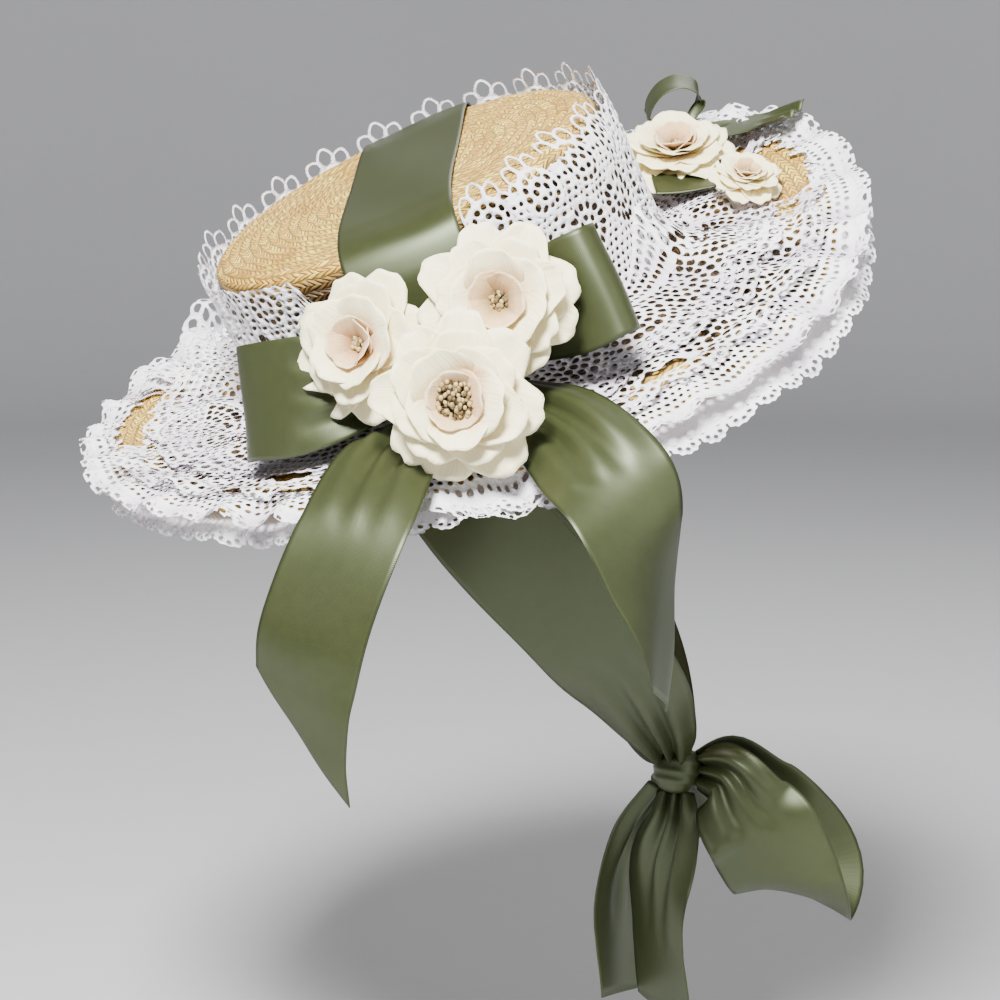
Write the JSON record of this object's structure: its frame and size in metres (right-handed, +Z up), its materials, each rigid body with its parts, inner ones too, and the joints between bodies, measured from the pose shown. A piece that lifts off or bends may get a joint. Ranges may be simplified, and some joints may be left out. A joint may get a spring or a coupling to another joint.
{
  "type": "straw sun hat",
  "caption": "Shallow straw hat as worn, tilted, with gathered lace frills, a satin ribbon bow with cloth flowers, and ribbons tied in a bow under the chin.",
  "frame": {"origin": "middle of the head opening, in the plane where the crown meets the brim", "axes": "+Z up as the hat is worn, +X to the wearer's face, -Y to the side with the big bow; the hat leans towards -X and -Y"},
  "size_m": [0.3734, 0.3913, 0.4659],
  "materials": {
    "straw": "plaited straw",
    "lace": "white cotton lace",
    "satin": "olive green satin",
    "petal": "ivory cloth",
    "stamen": "brown thread with cream tips"
  },
  "bodies": {
    "root": {"straw_crown": "straw", "straw_brim": "straw", "crown_lace": "lace", "brim_lace": "lace", "edge_lace": "lace", "under_lace": "lace", "crown_ribbon": "satin", "bow_knot": "satin", "bow_loop_left": "satin", "bow_loop_right": "satin", "bow_tail_left": "satin", "bow_tail_right": "satin", "flower_front_petals": "petal", "flower_front_inner": "petal", "flower_front_stamens": "stamen", "flower_left_petals": "petal", "flower_left_inner": "petal", "flower_left_stamens": "stamen", "flower_right_petals": "petal", "flower_right_inner": "petal", "flower_right_stamens": "stamen", "back_knot": "satin", "back_loop": "satin", "back_tail_out": "satin", "back_tail_near": "satin", "back_flower_petals": "petal", "back_flower_inner": "petal", "back_flower_stamens": "stamen", "back_bud_petals": "petal", "back_bud_inner": "petal", "back_bud_stamens": "stamen", "tie_near": "satin", "tie_far": "satin", "chin_knot": "satin", "chin_loop_near": "satin", "chin_loop_far": "satin", "chin_tail_front": "satin", "chin_tail_back": "satin"}
  },
  "joints": []
}
